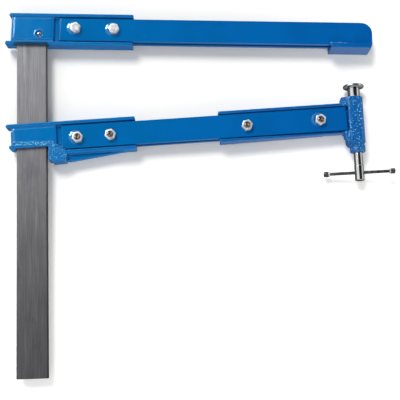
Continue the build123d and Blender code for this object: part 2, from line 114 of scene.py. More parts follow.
# Light: a soft key from the upper left, its gleam for polished things, a weak fill,
# a pale room and a white table
studio = {
    "keyFrom": Vector((-0.33, 0.66, 1.0)),
    "keyWidth": 23.0,           # degrees across, as seen from the clamp
    "keyPower": 2.05,
    "shineFrom": Vector((-0.60, 0.57, 0.56)),
    "shineWidth": 25.0,         # the same window as polished things show it, lower down
    "shinePower": 2.5,
    "fillFrom": Vector((0.15, -0.97, 0.20)),
    "fillWidth": 80.0,          # a weak wide lamp in front, for the walls that face the camera
    "fillPower": 1.50,
    "leftLevel": 0.85,          # walls of the room on its two sides
    "rightLevel": 0.78,
    "sideEdge": (-0.6, 0.6),
    "frontShare": 0.62,         # how much of that light the near wall gives
    "frontEdge": (-0.5, 0.1),
    "skirtingLevel": 0.10,      # dark band behind the table's edge
    "skirtingEdge": (0.08, 0.22),
    "belowLevels": (0.12, 0.42),    # what shines up past the table's edge, left and right
    "belowWay": (0.9, -0.4, 0.0),
    "belowEdge": (0.0, 0.35),
    "horizonEdge": (-0.08, 0.0),
    "ceilingLevel": 0.02,       # dark ceiling round the camera
    "ceilingWay": (0.29, 0.18, 0.94),
    "ceilingEdge": (0.75, 0.88),
    "tableSize": 9.0,
    "tableColour": (0.985, 0.978, 0.955, 1.0),
    "glowAlong": (-0.20, 0.14, 0.36, 0.05),     # painted light: the table glows, most at the bar's free end, lightening the shadows there
    "glowAcross": (0.02, 0.24, 0.0, 0.10),      # and a little at the arms' outer ends
    "tableDrop": 0.15 * mm,
}


class Value:
    # a socket of a node, so that shader maths reads as plain sums
    def __init__(self, finish, socket):
        self.finish, self.socket = finish, socket

    def maths(self, operation, first, second=0.0):
        return self.finish.node("ShaderNodeMath", {"operation": operation}, {0: first, 1: second})

    def __add__(self, other):
        return self.maths("ADD", self, other)

    def __rsub__(self, other):
        return self.maths("SUBTRACT", other, self)

    def __mul__(self, other):
        return self.maths("MULTIPLY", self, other)

    __radd__, __rmul__ = __add__, __mul__


class Finish:
    def __init__(self, holder):
        self.tree = holder.node_tree
        self.tree.nodes.clear()

    def node(self, kind, settings, values, output=0):
        made = self.tree.nodes.new(kind)
        for name, setting in settings.items():
            setattr(made, name, setting)
        for name, value in values.items():
            if isinstance(value, Value):
                self.tree.links.new(value.socket, made.inputs[name])
            else:
                made.inputs[name].default_value = value
        return Value(self, made.outputs[output]) if len(made.outputs) else None

    def place(self, stretch=(1, 1, 1)):
        here = self.node("ShaderNodeTexCoord", {}, {}, "Object")
        return self.node("ShaderNodeMapping", {}, {"Vector": here, "Scale": stretch})

    def along(self, axis):
        return self.node("ShaderNodeSeparateXYZ", {}, {"Vector": self.place()}, axis)

    def painted(self, name):
        # an amount that was laid on the piece's vertices
        return self.node("ShaderNodeAttribute", {"attribute_name": name}, {}, "Fac")

    def noise(self, size, detail=2.0, stretch=(1, 1, 1), roughness=0.5):
        return self.node("ShaderNodeTexNoise", {}, {"Vector": self.place(stretch), "Scale": 1 / size,
                                                    "Detail": detail, "Roughness": roughness})

    def spots(self, size):
        return self.node("ShaderNodeTexVoronoi", {"feature": "F1"},
                         {"Vector": self.place(), "Scale": 1 / size}, "Distance")

    def fade(self, value, low, high, first=0.0, last=1.0):
        return self.node("ShaderNodeMapRange", {"interpolation_type": "SMOOTHSTEP"},
                         {"Value": value, "From Min": low, "From Max": high, "To Min": first, "To Max": last})

    def blend(self, amount, first, second):
        # a Mix node's sockets for its factor and its two colours, and its colour output
        return self.node("ShaderNodeMix", {"data_type": "RGBA"}, {0: amount, 6: first, 7: second}, 2)

    def shaded(self, colour, lightShade):
        return self.node("ShaderNodeVectorMath", {"operation": "SCALE"}, {0: colour, "Scale": lightShade})

    def facing(self, way, towards):
        return self.node("ShaderNodeVectorMath", {"operation": "DOT_PRODUCT"}, {0: way, 1: towards}, "Value")

    def bump(self, height, depth, strength):
        return self.node("ShaderNodeBump", {}, {"Height": height, "Distance": depth, "Strength": strength})

    def close(self, values):
        shader = self.node("ShaderNodeBsdfPrincipled", {}, values)
        self.node("ShaderNodeOutputMaterial", {}, {"Surface": shader})


def newFinish(name):
    material = bpy.data.materials.new(name)
    material.use_nodes = True
    return material, Finish(material)


# Blue enamel, thin and glossy: the same paint on rolled plate and on castings
enamel = {
    "leftBlue": (0.0002, 0.153, 0.443, 1.0),    # painted light: the blue is lighter towards the left, nearer the key
    "rightBlue": (0.0002, 0.1155, 0.416, 1.0),
    "lightDriftFrom": -0.27,
    "lightDriftTo": 0.24,
    "plateClouds": 60 * mm,     # how large its drifts of tone are
    "castClouds": 26 * mm,
    "cloudEdge": (0.35, 0.68),
    "streakEdge": (0.55, 0.80),
    "thickShade": 0.90,         # where it has run thicker
    "thinShade": 1.07,          # where it is thin over a high spot
    "plateLightShades": (1.0, 1.0),   # painted light on plates and on castings, at the left and at the right: the heads at the left lit lighter
    "castLightShades": (1.12, 0.96),
    "rippleSize": 3.2 * mm,     # plates: faint orange peel, and specks of dust under the paint
    "dustSpacing": 5.5 * mm,
    "dustSize": 0.075,
    "plateRelief": 0.05 * mm,
    "sandSize": 1.7 * mm,       # castings: sand grain, and crumbs where the skin is rough
    "crumbSize": 2.5 * mm,
    "castRelief": 0.75 * mm,
    "plateGloss": (0.06, 0.12),
    "castGloss": (0.09, 0.18),
    "index": 1.85,
    "shineTint": (0.50, 0.84, 1.0, 1.0),    # the gloss takes some of the paint's colour
    "plateCoat": 0.25,
    "castCoat": 0.10,
    "coatIndex": 1.48,
    "coatRoughness": 0.05,
    "paintedShade": (0.0004, 0.012, 0.035, 1.0),    # painted shade beside the bar, where it leaves each head
    "paintedShadeStrength": 0.85,
    "paintedGlint": (0.15, 0.54, 0.90, 1.0),    # painted glints: pale specks on rough skin
    "paintedGlintEdge": (0.73, 0.79),
}


def enamelColour(paint, values, cloudSize, lightShades):
    clouds = paint.noise(cloudSize, detail=3.0)
    streaks = paint.noise(cloudSize / 6, detail=2.0)
    # painted light: lighter towards the left, nearer the key
    lightDrift = paint.fade(paint.along("X"), values["lightDriftFrom"], values["lightDriftTo"])
    lightShade = paint.fade(lightDrift, 0.0, 1.0, *lightShades)
    colour = paint.blend(lightDrift, values["leftBlue"], values["rightBlue"])
    shades = paint.fade(clouds, *values["cloudEdge"], values["thickShade"] * lightShade, lightShade)
    shades = shades + paint.fade(streaks, *values["streakEdge"], 0.0, values["thinShade"] - 1)
    return paint.shaded(colour, shades)


def enamelled(paint, values, colour, gloss, coat, relief):
    paint.close({"Base Color": colour, "Roughness": gloss, "IOR": values["index"],
                 "Specular Tint": values["shineTint"], "Coat Weight": coat,
                 "Coat Roughness": values["coatRoughness"], "Coat IOR": values["coatIndex"], "Normal": relief})


def plateEnamel(values):
    material, paint = newFinish("plateEnamel")
    ripple = paint.noise(values["rippleSize"], detail=1.0)
    dust = paint.fade(paint.spots(values["dustSpacing"]), 0.0, values["dustSize"], 1.0, 0.0)
    relief = paint.bump(ripple * 0.5 + dust * 0.6, values["plateRelief"], 0.7)
    gloss = paint.fade(paint.noise(24 * mm, detail=3.0), 0.3, 0.7, *values["plateGloss"])
    colour = enamelColour(paint, values, values["plateClouds"], values["plateLightShades"])
    enamelled(paint, values, colour, gloss + dust * 0.1, values["plateCoat"], relief)
    return material


def castEnamel(values):
    material, paint = newFinish("castEnamel")
    roughAndGlint, paintedShade = paint.painted("roughAndGlint"), paint.painted("paintedShade")
    grain = paint.noise(values["sandSize"], detail=3.0, roughness=0.6)
    crumbs = paint.noise(values["crumbSize"], detail=1.0)
    relief = paint.bump(grain * (0.08 + roughAndGlint * 0.4) + paint.fade(crumbs, 0.52, 0.72) * roughAndGlint,
                        values["castRelief"], 0.9)
    gloss = paint.fade(paint.noise(9 * mm, detail=3.0), 0.3, 0.7, *values["castGloss"])
    # painted glints: pale specks where the skin is rough, denser and stronger where the weight passes 1
    paintedGlint = paint.fade(crumbs + roughAndGlint * 0.10, *values["paintedGlintEdge"]) * roughAndGlint
    colour = enamelColour(paint, values, values["castClouds"], values["castLightShades"])
    colour = paint.blend(paintedGlint, colour, values["paintedGlint"])
    # painted shade: darker where the bar leaves the head
    colour = paint.blend(paint.fade(paintedShade, 0.15, 1.0, 0.0, values["paintedShadeStrength"]), colour, values["paintedShade"])
    enamelled(paint, values, colour, gloss, values["castCoat"], relief)
    return material


# Drawn flat steel: dull grey, grained along its length, with darker scale and a few bright rubs
steel = {
    "pale": (0.190, 0.190, 0.198, 1.0),
    "dark": (0.125, 0.125, 0.135, 1.0),
    "scale": (0.095, 0.095, 0.105, 1.0),
    "rub": (0.27, 0.27, 0.27, 1.0),
    "edgeTint": (0.15, 0.15, 0.15, 1.0),    # keeps it dull when seen along its face
    "metallic": 0.85,
    "grainSize": 0.9 * mm,      # fine drawing lines, broader bands and worn patches
    "bandSize": 7 * mm,
    "patchSize": 30 * mm,
    "scaleShare": 0.55,
    "rubShare": 0.35,
    "relief": 0.03 * mm,
    "sheen": (0.46, 0.60),
    "paintedSheenAlong": (-0.25, 0.25, 0.79, 1.93),  # painted reflection along the bar: the free end darker than the head end
}


def barSteel(values):
    material, metal = newFinish("barSteel")
    grain = metal.noise(values["grainSize"], detail=4.0, stretch=(1, 0.02, 1), roughness=0.65)
    bands = metal.noise(values["bandSize"], detail=2.0, stretch=(1, 0.05, 1))
    patches = metal.noise(values["patchSize"], detail=4.0, stretch=(1, 0.5, 1))
    colour = metal.blend(metal.fade(grain, 0.3, 0.7), values["dark"], values["pale"])
    colour = metal.blend(metal.fade(patches, 0.52, 0.72, 0.0, values["scaleShare"]), colour, values["scale"])
    rubs = metal.fade(bands, 0.62, 0.72) * metal.fade(patches, 0.3, 0.6)
    colour = metal.blend(rubs * values["rubShare"], colour, values["rub"])
    # painted reflection: the bar darker towards its free end
    colour = metal.shaded(colour, metal.fade(metal.along("Y"), *values["paintedSheenAlong"]))
    metal.close({"Base Color": colour, "Metallic": values["metallic"], "Specular Tint": values["edgeTint"],
                 "Roughness": metal.fade(patches + grain * 0.3, 0.4, 0.95, *values["sheen"]),
                 "Normal": metal.bump(grain + bands * 0.5, values["relief"], 0.6)})
    return material


# Plated and bare metals of the small parts: pale and dark colours, sheen range and grain
metals = {
    "zinc": {
        "metallic": 0.5, "pale": (0.92, 0.93, 0.95, 1), "dark": (0.66, 0.68, 0.71, 1),
        "sheen": (0.30, 0.44), "edgeTint": (0.5, 0.5, 0.5, 1),
        "cloud": 4 * mm, "grain": 0.5 * mm, "depth": 0.012 * mm},
    "threadSteel": {
        "metallic": 1.0, "pale": (0.58, 0.48, 0.41, 1), "dark": (0.12, 0.088, 0.07, 1),
        "sheen": (0.22, 0.40), "edgeTint": (0.5, 0.5, 0.5, 1),
        "cloud": 2.5 * mm, "grain": 0.5 * mm, "depth": 0.03 * mm},
    "chrome": {
        "metallic": 1.0, "pale": (0.84, 0.85, 0.85, 1), "dark": (0.74, 0.75, 0.75, 1),
        "sheen": (0.08, 0.16), "edgeTint": (0.08, 0.08, 0.08, 1),
        "cloud": 8 * mm, "grain": 0.6 * mm, "depth": 0.004 * mm},
    "darkSteel": {
        "metallic": 1.0, "pale": (0.22, 0.235, 0.25, 1), "dark": (0.09, 0.095, 0.105, 1),
        "sheen": (0.22, 0.38), "edgeTint": (0.3, 0.3, 0.3, 1),
        "cloud": 6 * mm, "grain": 0.7 * mm, "depth": 0.015 * mm},
    "rivetSteel": {
        "metallic": 1.0, "pale": (0.88, 0.84, 0.78, 1), "dark": (0.34, 0.24, 0.16, 1),
        "sheen": (0.14, 0.30), "edgeTint": (0.3, 0.3, 0.3, 1),
        "cloud": 3 * mm, "grain": 0.8 * mm, "depth": 0.02 * mm},
}


def smallMetal(name, values):
    material, metal = newFinish(name)
    clouds = metal.noise(values["cloud"], detail=3.0)
    grain = metal.noise(values["grain"], detail=2.0)
    colour = metal.blend(metal.fade(clouds, 0.35, 0.65), values["dark"], values["pale"])
    metal.close({"Base Color": colour, "Metallic": values["metallic"], "Specular Tint": values["edgeTint"],
                 "Roughness": metal.fade(clouds + grain * 0.3, 0.4, 0.9, *values["sheen"]),
                 "Normal": metal.bump(grain, values["depth"], 0.8)})
    return material


def makeTable(values):
    bpy.ops.mesh.primitive_plane_add(size=values["tableSize"], location=(0, 0, -values["tableDrop"]))
    table = bpy.context.object
    table.name = "table"
    material, paper = newFinish("tablePaper")
    fibre = paper.noise(2 * mm, detail=2.0)
    # painted light: the table glows more towards the bar's free end and the arms' outer ends
    glow = (paper.fade(paper.along("Y"), *values["glowAlong"])
            + paper.fade(paper.along("X"), *values["glowAcross"]))
    paper.close({"Base Color": values["tableColour"], "Roughness": 1.0, "Specular IOR Level": 0.0,
                 "Emission Color": glow, "Emission Strength": 1.0,
                 "Normal": paper.bump(fibre, 0.01 * mm, 0.2)})
    table.data.materials.append(material)
    table.visible_glossy = False


def makeLight(values):
    for name in ("key", "shine", "fill"):
        lamp = bpy.data.objects.new(name + "Light", bpy.data.lights.new(name + "Light", "SUN"))
        bpy.context.scene.collection.objects.link(lamp)
        lamp.rotation_mode = "QUATERNION"
        lamp.rotation_quaternion = values[name + "From"].to_track_quat("Z", "Y")
        lamp.data.energy = values[name + "Power"]
        lamp.data.angle = radians(values[name + "Width"])
        lamp.visible_glossy, lamp.visible_diffuse = name == "shine", name != "shine"
    world = bpy.data.worlds.new("studio")
    world.use_nodes = True
    bpy.context.scene.world = world
    air = Finish(world)
    way = air.node("ShaderNodeTexCoord", {}, {}, "Generated")
    sideways, deep, height = (air.node("ShaderNodeSeparateXYZ", {}, {"Vector": way}, axis) for axis in "XYZ")
    walls = air.fade(sideways, *values["sideEdge"], values["leftLevel"], values["rightLevel"])
    walls = walls * air.fade(deep, *values["frontEdge"], values["frontShare"], 1.0)
    ceiling = air.fade(air.facing(way, values["ceilingWay"]), *values["ceilingEdge"])
    skirting = air.fade(height, *values["skirtingEdge"], 1.0, 0.0)
    walls = walls * (1.0 - skirting) + skirting * values["skirtingLevel"]
    level = walls * (1.0 - ceiling) + ceiling * values["ceilingLevel"]
    below = air.fade(height, *values["horizonEdge"], 1.0, 0.0)
    floor = air.fade(air.facing(way, values["belowWay"]), *values["belowEdge"], *values["belowLevels"])
    level = level * (1.0 - below) + below * floor
    shader = air.node("ShaderNodeBackground", {}, {"Color": (1, 1, 1, 1), "Strength": level})
    air.node("ShaderNodeOutputWorld", {}, {"Surface": shader})


# Maker's tools that every piece below is shaped with
def letGo():
    bpy.ops.object.select_all(action="DESELECT")


def take(piece):
    letGo()
    piece.select_set(True)
    bpy.context.view_layer.objects.active = piece


def applied(piece, kind, **settings):
    take(piece)
    modifier = piece.modifiers.new(kind.lower(), kind)
    for name, value in settings.items():
        setattr(modifier, name, value)
    bpy.ops.object.modifier_apply(modifier=modifier.name)


def copyOf(node, name):
    # the node's own mesh stays as it is, and only the copy is merged
    piece = bpy.data.objects.new(name, nodes[node].data.copy())
    bpy.context.scene.collection.objects.link(piece)
    piece.data.materials.clear()
    take(piece)
    bpy.ops.mesh.customdata_custom_splitnormals_clear()
    bpy.ops.object.mode_set(mode="EDIT")
    bpy.ops.mesh.select_all(action="SELECT")
    bpy.ops.mesh.remove_doubles(threshold=0.004 * mm)
    bpy.ops.object.mode_set(mode="OBJECT")
    return piece


def joined(pieces, name):
    take(pieces[0])
    for piece in pieces:
        piece.select_set(True)
    bpy.ops.object.join()
    pieces[0].name = name
    return pieces[0]


def settle(piece):
    # its place goes into its mesh
    take(piece)
    bpy.ops.object.transform_apply(location=True, rotation=True, scale=True)
    return piece


def cut(piece, tool, operation="DIFFERENCE"):
    applied(piece, "BOOLEAN", object=tool, operation=operation, solver="EXACT")
    bpy.data.objects.remove(tool)


def softEdges(piece, width, segments=2, over=30.0, mergeFlats=True):
    # flat faces stay flat, and only the rounded edges shade smoothly
    take(piece)
    if mergeFlats:
        bpy.ops.object.mode_set(mode="EDIT")
        bpy.ops.mesh.select_all(action="SELECT")
        bpy.ops.mesh.dissolve_limited(angle_limit=radians(0.5))
        bpy.ops.object.mode_set(mode="OBJECT")
    bpy.ops.object.shade_smooth()
    applied(piece, "BEVEL", width=width, segments=segments, limit_method="ANGLE",
            angle_limit=radians(over), harden_normals=True)


def finished(piece, body, material, replaced):
    piece.data.materials.clear()
    piece.data.materials.append(material)
    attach(piece, body)
    if replaced:
        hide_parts(replaced)


def tipped(piece, finish, isTip):
    # a second finish on the faces whose middles pass the test
    piece.data.materials.append(finish)
    for face in piece.data.polygons:
        face.material_index = int(isTip(face.center))


def smoothUnder(piece, degrees):
    take(piece)
    bpy.ops.object.shade_smooth_by_angle(angle=radians(degrees))


def turned(name, profile, segments=64):
    # a lathe-like shape along Z from its foot: each (height, radius) is an extrusion of the last ring
    (foot, first), rest = profile[0], profile[1:]
    letGo()
    bpy.ops.mesh.primitive_circle_add(vertices=segments, radius=first, fill_type="NGON", location=(0, 0, foot))
    piece = bpy.context.object
    piece.name = name
    settle(piece)
    bpy.ops.object.mode_set(mode="EDIT")
    bpy.ops.mesh.select_all(action="SELECT")
    height, radius = foot, first
    for nextHeight, nextRadius in rest:
        bpy.ops.mesh.extrude_region_move(TRANSFORM_OT_translate={"value": (0, 0, nextHeight - height)})
        share = nextRadius / radius
        bpy.ops.transform.resize(value=(share, share, 1.0), center_override=(0, 0, nextHeight))
        height, radius = nextHeight, nextRadius
    bpy.ops.mesh.select_all(action="SELECT")
    bpy.ops.mesh.normals_make_consistent(inside=False)
    bpy.ops.object.mode_set(mode="OBJECT")
    return piece


makeCamera(cameraView)
makeTable(studio)
makeLight(studio)
print("camera, table and light are set")

plateBlue = plateEnamel(enamel)
castBlue = castEnamel(enamel)
flatSteel = barSteel(steel)
finishes = {name: smallMetal(name, values) for name, values in metals.items()}
print("finishes are mixed")


def dressNode(node, material):
    shown = nodes[node]
    shown.data.materials.clear()
    shown.data.materials.append(material)


dressNode("bar", flatSteel)

# Plates: rolled flat steel with slightly rounded edges
plates = {
    "edge": 0.55 * mm,
    # heights and radii up the flank of the swelling round a bolt
    "seat": [(-0.15, 9.7), (-0.02, 9.5), (0.06, 9.2), (0.30, 8.4), (0.57, 7.6), (0.84, 6.8),
             (1.00, 6.2), (1.06, 5.6), (1.08, 5.0)],
    "seatShift": (-2.7, 1.3),   # paint has pooled to one side of the bolt
    "seated": {"fixed_arm_front_plate": [("fixed_arm_bolts", (0, 1))],
               "sliding_arm_front_plate": [("sliding_head_bolts", (0,)), ("bracket_bolts", (1,))]},
    "pieces": {
        "fixedArmFrontPlate": ("fixed_arm_front_plate", "frame"),
        "fixedArmBackPlate": ("fixed_arm_back_plate", "frame"),
        "slidingArmFrontPlate": ("sliding_arm_front_plate", "sliding_arm"),
        "slidingArmBackPlate": ("sliding_arm_back_plate", "sliding_arm"),
    },
}


def seats(node, bolts, which, values):
    # the plate stands up a little round a tightened bolt
    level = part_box(node)[1].z
    middles = centresIn(bolts, 2)
    profile = [(height * mm, radius * mm) for height, radius in values["seat"]]
    aside, along = (shift * mm for shift in values["seatShift"])
    for i in which:
        seat = turned("boltSeat", profile, 64)
        seat.location = (middles[i].x + aside, middles[i].y + along, level)
        smoothUnder(settle(seat), 40)
        yield seat


def makePlates(values):
    for name, (node, body) in values["pieces"].items():
        plate = copyOf(node, name)
        softEdges(plate, values["edge"], segments=3)
        raised = [seat for bolts, which in values["seated"].get(node, [])
                  for seat in seats(node, bolts, which, values)]
        if raised:
            plate = joined([plate, *raised], name)
        finished(plate, body, plateBlue, node)


makePlates(plates)
print("plates are made")

# Castings: a coat of voxels over the bench shape, eased, then given a sand-cast skin
castings = {
    "fixedHead": {"node": "fixed_head", "body": "frame", "voxel": 0.65 * mm, "ease": 3,
                  "wave": 0.10 * mm, "waveSize": 14 * mm, "grain": 0.04 * mm, "grainSize": 2.6 * mm},
    "slidingHead": {"node": "sliding_head", "body": "sliding_arm", "voxel": 0.65 * mm, "ease": 4,
                    "wave": 0.22 * mm, "waveSize": 11 * mm, "grain": 0.08 * mm, "grainSize": 2.6 * mm},
    "screwBracket": {"node": "screw_bracket", "body": "sliding_arm", "voxel": 0.70 * mm, "ease": 8,
                     "wave": 0.20 * mm, "waveSize": 10 * mm, "grain": 0.12 * mm, "grainSize": 2.4 * mm},
}
# Where a casting's skin is rough and carries painted glints: a line's two ends, a reach and a weight for each
# patch; weights above 1 paint the slider's rib rows as glinting lines
roughAndGlintPatches = {
    "fixedHead": [((-100, 190, 15), (-80, 190, 15), 40, 0.15)],
    "slidingHead": [((-190, 48, 20), (-188, 38, 20), 22, 0.6),
                    ((-248, 62.9, 24.9), (-198, 62.3, 24.9), 1.8, 2.0),
                    ((-243, 60.0, 25.0), (-200, 59.6, 25.0), 1.8, 2.0),
                    ((-194, 55, 24), (-196, 61, 24), 4, 1.6)],
    "screwBracket": [((214, 108, 26), (214, 48, 26), 26, 1.0)],
}
# Painted shade: the contact shadow over the bar as it leaves each head, painted dark on the casting
paintedShadePatches = {
    "fixedHead": [((-246, 202.6, 21.5), (-205, 200.5, 21.5), 6.5, 1.0)],
    "slidingHead": [((-246, 49.0, 21.5), (-205, 50.4, 21.5), 6.5, 1.0)],
}


def skin(piece, size, depth):
    pattern = bpy.data.textures.new("castSkin", "CLOUDS")
    pattern.noise_scale, pattern.noise_depth = size, 1
    applied(piece, "DISPLACE", texture=pattern, texture_coords="LOCAL", direction="NORMAL",
            strength=depth, mid_level=0.5)


def spread(piece, attribute, patches):
    # full within half a patch's reach of its line, and fading to nothing at its reach
    layer = piece.data.attributes.new(attribute, "FLOAT", "POINT")
    lines = [(Vector(first) * mm, (Vector(last) - Vector(first)) * mm, reach * mm, weight)
             for first, last, reach, weight in patches]
    for vertex in piece.data.vertices:
        strongest = 0.0
        for first, along, reach, weight in lines:
            share = max(0.0, min(1.0, (vertex.co - first).dot(along) / along.length_squared))
            away = (vertex.co - first - along * share).length
            strongest = max(strongest, weight * max(0.0, min(1.0, 2 - 2 * away / reach)))
        layer.data[vertex.index].value = strongest


def makeCasting(name, values, extras, tools):
    piece = copyOf(values["node"], name)
    for tool in tools:
        cut(piece, tool)
    if extras:
        piece = joined([piece, *extras], name)
    applied(piece, "REMESH", mode="VOXEL", voxel_size=values["voxel"], adaptivity=0.0)
    applied(piece, "SMOOTH", factor=0.5, iterations=values["ease"])
    skin(piece, values["waveSize"], values["wave"])
    skin(piece, values["grainSize"], values["grain"])
    spread(piece, "roughAndGlint", roughAndGlintPatches[name])
    spread(piece, "paintedShade", paintedShadePatches.get(name, []))
    take(piece)
    bpy.ops.object.shade_smooth()
    finished(piece, values["body"], castBlue, values["node"])
    print(name, len(piece.data.polygons), "faces")


def ball(radius, spot, squash=1.0):
    letGo()
    bpy.ops.mesh.primitive_uv_sphere_add(segments=16, ring_count=10, radius=radius, location=spot)
    piece = bpy.context.object
    piece.scale = (1.0, 1.0, squash)
    return settle(piece)


def block(low, high, soft=0.8):
    # from corner to corner in millimetres, with its edges eased
    low, high = ([v * mm for v in corner] for corner in (low, high))
    letGo()
    middle = [(a + b) / 2 for a, b in zip(low, high)]
    bpy.ops.mesh.primitive_cube_add(size=1, location=middle)
    piece = bpy.context.object
    piece.scale = [b - a for a, b in zip(low, high)]
    settle(piece)
    applied(piece, "BEVEL", width=soft * mm, segments=2)
    return piece


# Where the castings differ from the bench shape
castDetails = {
    "steps": [((194.4, 98.0, 12.5), (206.0, 111.9, 23.5)),     # square tab beside the housing
              ((198.2, 98.0, 8.0), (206.0, 111.0, 28.0))],     # and the thicker step behind it
    "cornerCut": (9.0, 8.5),            # taken off the shoulder's lower corner, across and along
    "shoulderReach": 18.8,
    "shoulderFoot": 44.9,
    "drafts": [(196.6, 40.0, 61.0, 18), (199.0, 97.5, 112.0, 14)],  # sides lean in below the parting line
    "draftAngle": 13.0,
    "rimRadius": 5.4,                   # raised rim round the head's rivet
    "rimTube": 0.85,
    "rimHeight": 23.9,
    "fixedEnd": ((-27.6, -17, 8), (-22, 17, 23.08)),        # square blocks at the heads' left ends
    "slidingEnd": ((-27.4, -13, 8), (-22, 13, 23.05)),
    "lumpRibs": [((-249, 62.9, 23.9), (-197, 62.3, 23.9), 1.4),
                 ((-246, 60.0, 24.0), (-199, 59.6, 24.0), 1.3)],
    "lumpSeed": 5,
    "lumpRows": [((-248, 62.9, 24.6), (-198, 62.3, 24.6), 22, 0.85),
                 ((-243, 60.0, 24.7), (-200, 59.6, 24.7), 16, 0.75),
                 ((-193.6, 55.6, 24.6), (-195.5, 61.4, 24.6), 2, 1.5)],
}


def cornerTool(values):
    # a box laid over the shoulder's corner on the slant
    across, along = (v * mm for v in values["cornerCut"])
    corner = Vector((screwX - values["shoulderReach"] * mm, values["shoulderFoot"] * mm, midZ))
    width = sqrt(across ** 2 + along ** 2)
    letGo()
    bpy.ops.mesh.primitive_cube_add(size=1)
    tool = bpy.context.object
    tool.scale = (width * 1.05, width * 0.7, 60 * mm)
    settle(tool)
    tool.matrix_world = (Matrix.Translation(corner + Vector((across / 2, along / 2, 0)))
                         @ Matrix.Rotation(-atan2(along, across), 4, "Z")
                         @ Matrix.Translation((0, -width * 0.35, 0)))
    return settle(tool)


def draftTools(values):
    # wedges that take a side's lower half off at a slant
    for edge, first, last, level in values["drafts"]:
        tool = block((-30, first, -30), (0, last, 0), 0.01)
        tool.matrix_world = (Matrix.Translation((edge * mm, 0, level * mm))
                             @ Matrix.Rotation(-radians(values["draftAngle"]), 4, "Y"))
        yield settle(tool)


def rivetRim(values):
    low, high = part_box("head_rivet")
    letGo()
    bpy.ops.mesh.primitive_torus_add(
        major_radius=values["rimRadius"] * mm, minor_radius=values["rimTube"] * mm,
        major_segments=48, minor_segments=12,
        location=((low.x + high.x) / 2, (low.y + high.y) / 2, values["rimHeight"] * mm))
    return settle(bpy.context.object)


def runLumps(values):
    # paint and sand lumps in rows along the slider's lower ribs
    chance = random.Random(values["lumpSeed"])
    made = []
    for first, last, count, radius in values["lumpRows"]:
        for i in range(count):
            spot = Vector(first).lerp(Vector(last), (i + chance.uniform(-0.3, 0.3)) / max(1, count - 1)) * mm
            spot.y += chance.uniform(-0.25, 0.25) * mm
            made.append(ball(radius * chance.uniform(0.8, 1.2) * mm, spot))
    return made


def roundBar(first, last, radius):
    first, last = Vector(first) * mm, Vector(last) * mm
    letGo()
    bpy.ops.mesh.primitive_cylinder_add(vertices=24, radius=radius * mm, depth=(last - first).length,
                                        location=(first + last) / 2)
    piece = bpy.context.object
    piece.rotation_mode = "QUATERNION"
    piece.rotation_quaternion = (last - first).to_track_quat("Z", "X")
    return settle(piece)


def squareEnd(arm, low, high):
    # a square-edged block laid along an arm, its corners given from where the arm crosses the bar
    piece = block(low, high, 0.3)
    across = fixedY if arm == "fixed" else slidingY
    piece.matrix_world = (Matrix.Translation((barX, across, 0))
                          @ Matrix.Rotation(radians(clamp[arm + "Lean"]), 4, "Z"))
    return settle(piece)


added = {
    "fixedHead": [rivetRim(castDetails), squareEnd("fixed", *castDetails["fixedEnd"])],
    "slidingHead": [*runLumps(castDetails), squareEnd("sliding", *castDetails["slidingEnd"]),
                    *[roundBar(*rib) for rib in castDetails["lumpRibs"]]],
    "screwBracket": [block(low, high) for low, high in castDetails["steps"]],
}
carved = {"screwBracket": [cornerTool(castDetails), *draftTools(castDetails)]}
for name, values in castings.items():
    makeCasting(name, values, added[name], carved.get(name, []))
print("castings are made")

# Hexagon bolts and nuts, zinc plated, as bought
fasteners = {
    "acrossFlats": 13.0 * mm,
    "height": 6.5 * mm,
    "chamfer": 30.0,            # degrees of the turned chamfer on the hexagon's corners
    "footShare": 0.97,          # round faces left by the chamfers, as shares of the flats' width
    "topShare": 0.95,
    "edge": 0.22 * mm,
    "boltRadius": 4.0 * mm,
    "boreRadius": 4.05 * mm,
    "boreMouth": 0.8 * mm,
    "pitch": 1.25 * mm,
    "threadDepth": 0.62 * mm,
    "threadLength": 15.0 * mm,
    "ringsPerTurn": 7,
    "endChamfer": 0.9 * mm,
    "endDimple": (1.9 * mm, 0.5 * mm),    # radius and depth of the mark in a cold-headed end
    "headDimple": (4.6 * mm, 0.25 * mm),
    "rows": {
        "fixedArm": {"bolts": "fixed_arm_bolts", "nuts": "fixed_arm_nuts", "body": "frame",
                     "headUp": True, "turns": (12.0, 40.0)},
        "slidingHead": {"bolts": "sliding_head_bolts", "nuts": "sliding_head_nuts", "body": "sliding_arm",
                        "headUp": False, "turns": (43.0, 45.0)},
        "bracket": {"bolts": "bracket_bolts", "nuts": "bracket_nuts", "body": "sliding_arm",
                    "headUp": False, "turns": (41.0, 52.0)},
    },
}


def hexagon(name, values):
    # a six-sided bar cut to length by a turned profile that rounds its corners off
    top, flat = values["height"], values["acrossFlats"] / 2
    corner = flat / cos(pi / 6)
    foot, clear = flat * values["footShare"], corner * 1.001
    drop = (corner - foot) * tan(radians(values["chamfer"]))
    profile = [(0, foot), (drop, clear), (top - drop, clear), (top, flat * values["topShare"])]
    letGo()
    bpy.ops.mesh.primitive_cylinder_add(vertices=6, radius=corner, depth=4 * top)
    piece = bpy.context.object
    piece.name = name
    settle(piece)
    cut(piece, turned(name + "Profile", profile), "INTERSECT")
    return piece


def makeNut(values):
    height, bore, mouth = values["height"], values["boreRadius"], values["boreMouth"]
    nut = hexagon("nut", values)
    cut(nut, turned("bore", [(-mouth, bore + 2 * mouth), (mouth, bore), (height - mouth, bore),
                             (height + mouth, bore + 2 * mouth)]))
    softEdges(nut, values["edge"])
    return nut


